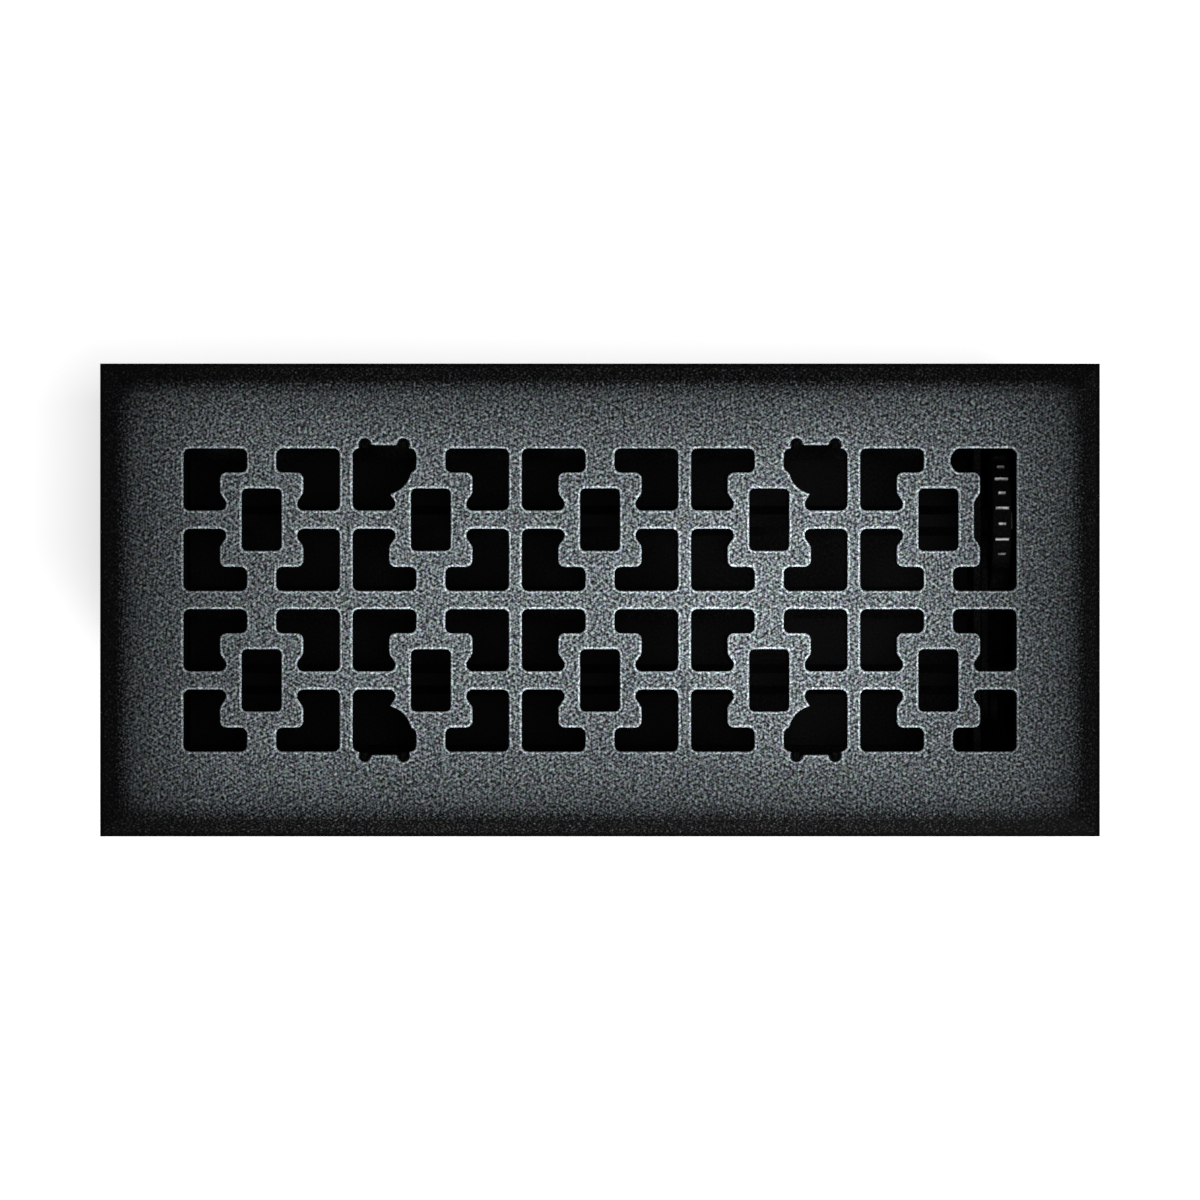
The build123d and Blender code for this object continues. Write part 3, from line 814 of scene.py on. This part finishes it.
def shaft_steel():
    """Drawn steel: fine streaks along X in its tone and roughness."""
    steel = Finish("shaft_steel")
    tree = steel.tree
    along = put(tree, "ShaderNodeMapping", {"Vector": steel.position, "Scale": (0.04, 1, 1)})
    streak = steel.shared(PEBBLED, Position=along.outputs[0], Scale=2600.0, Contrast=0.6)
    steel.set(
        Base_Color=scaled(tree, DRAWN_STEEL, streak["Tone"]),
        Roughness=between(tree, streak["Height"], HOLLOW, CREST, 0.28, 0.46),
        Metallic=1.0,
    )
    steel.bump(streak["Height"], 0.25, 0.05)
    return steel.material


coat = face_coat()
# the given blacks are painted shade inside the box, on the blades' tops and on the wheel and its linkage
box_plastic = moulded_plastic("box_plastic", BOX_SHADE_BLACK, roughness=0.9, gloss=0.012, satin=box_skin)
blade_plastic = moulded_plastic(
    "blade_plastic", SHADE_DEEP_BLACK, roughness=0.6, gloss=0.015, satin=blade_underside
)
wheel_plastic = moulded_plastic(
    "wheel_plastic", SHADE_DEEP_BLACK, roughness=0.7, gloss=0.014, highlight_tint=(*HIGHLIGHT_GREY, 1)
)
steel = shaft_steel()

piece("coated_face", face_patches(), "root", "face_plate", coat)
piece("ribbed_wheel", wheel_patches(), "rear_damper", "thumb_wheel", wheel_plastic)

for node, finish in {
    "damper_box": box_plastic,
    "rear_blade": blade_plastic,
    "front_blade": blade_plastic,
    "crank_arm": wheel_plastic,
    "link_bar": wheel_plastic,
    "rear_shaft": steel,
    "front_shaft": steel,
    "rear_pivot_pin": steel,
    "front_pivot_pin": steel,
}.items():
    solid = frame["nodes"][node]
    solid.data.materials.clear()
    solid.data.materials.append(finish)
    solid.modifiers.new("closed", "WELD").merge_threshold = MERGE
    eased = solid.modifiers.new("eased", "BEVEL")
    eased.width, eased.segments = EDGE_EASE * MM, EASE_SEGMENTS
    eased.limit_method, eased.angle_limit = "ANGLE", EASED_FROM
    eased.harden_normals = True
    eased.use_clamp_overlap = True

# Floor, light and camera
FLOOR_HALF = 3.0
FLOOR_Z = cad_low.z
# the shaded floor is a painted shadow inside the box's walls
PALE_FLOOR, SHADED_FLOOR = (0.8, 0.8, 0.8, 1), (0.2, 0.2, 0.2, 1)
FLOOR_GLOW = 0.67
AMBIENT = 0.2
FRAME_WIDTH = 0.35436
LENS, SENSOR = 150.0, 36.0


def backdrop_rays(tree):
    """1 for camera, glossy and transmission rays, which see the plain backdrop, and 0 for the rest."""
    rays = put(tree, "ShaderNodeLightPath").outputs
    seen = reckon(tree, "MAXIMUM", rays["Is Camera Ray"], rays["Is Glossy Ray"])
    return reckon(tree, "MAXIMUM", seen, rays["Is Transmission Ray"])


floor_mesh = bpy.data.meshes.new("floor")
floor_mesh.from_pydata(
    [(x * FLOOR_HALF, y * FLOOR_HALF, FLOOR_Z) for x, y in ((-1, -1), (1, -1), (1, 1), (-1, 1))],
    [],
    [(0, 1, 2, 3)],
)
floor = bpy.data.objects.new("floor", floor_mesh)
bpy.context.scene.collection.objects.link(floor)
floor_paint = Finish("floor_paint")
# 1 on the open floor and 0 inside the walls of the box that stands on it, where the floor is a painted
# shadow without glow
past_walls = past_box(floor_paint.tree, floor_paint.position)
open_floor = reckon(floor_paint.tree, "GREATER_THAN", past_walls, 0.0)
floor_paint.set(
    Base_Color=mixed(floor_paint.tree, open_floor, SHADED_FLOOR, PALE_FLOOR),
    Roughness=0.9,
    Specular_IOR_Level=0.0,
    Emission_Color=(1, 1, 1, 1),
    Emission_Strength=reckon(
        floor_paint.tree,
        "MULTIPLY",
        backdrop_rays(floor_paint.tree),
        reckon(floor_paint.tree, "MULTIPLY", open_floor, FLOOR_GLOW),
    ),
)
floor_mesh.materials.append(floor_paint.material)

world = bpy.data.worlds.new("studio")
world.use_nodes = True
bpy.context.scene.world = world
sky = world.node_tree.nodes["Background"]
sky.inputs["Color"].default_value = (1, 1, 1, 1)
added = reckon(world.node_tree, "MULTIPLY", backdrop_rays(world.node_tree), 1 - AMBIENT)
strength = reckon(world.node_tree, "ADD", added, AMBIENT)
world.node_tree.links.new(strength, sky.inputs["Strength"])


def softbox(name, place, aim, size, watts):
    """Square lamp at a place, turned towards a point."""
    lamp = bpy.data.lights.new(name, "AREA")
    lamp.size, lamp.energy = size, watts
    made = bpy.data.objects.new(name, lamp)
    made.location = place
    made.rotation_euler = (Vector(aim) - Vector(place)).to_track_quat("-Z", "Y").to_euler()
    made.visible_camera = False
    bpy.context.scene.collection.objects.link(made)


def downlight(name, place, spread, watts):
    """Round lamp that looks straight down, with a soft edge to its pool of light."""
    lamp = bpy.data.lights.new(name, "SPOT")
    lamp.spot_size, lamp.spot_blend, lamp.energy = spread, 1.0, watts
    made = bpy.data.objects.new(name, lamp)
    made.location = place
    bpy.context.scene.collection.objects.link(made)


softbox("overhead", place=(0.2, 0, 0.8), aim=(0.05, 0, 0), size=0.5, watts=3.4)
softbox("low_front", place=(0.42, -1.0, 0.64), aim=(0, 0, 0), size=0.3, watts=12.5)
downlight("right_of_middle", place=(0.064, 0.001, 0.9), spread=radians(8), watts=12.5)

camera = bpy.data.cameras.new("front_camera")
camera.lens, camera.sensor_width = LENS, SENSOR
camera.clip_start, camera.clip_end = 0.05, 50
viewpoint = bpy.data.objects.new("front_camera", camera)
viewpoint.location = (0, 0, FRAME_WIDTH * LENS / SENSOR + LIP_HEIGHT * MM)
bpy.context.scene.collection.objects.link(viewpoint)
bpy.context.scene.camera = viewpoint
bpy.context.scene.view_settings.view_transform = "Standard"
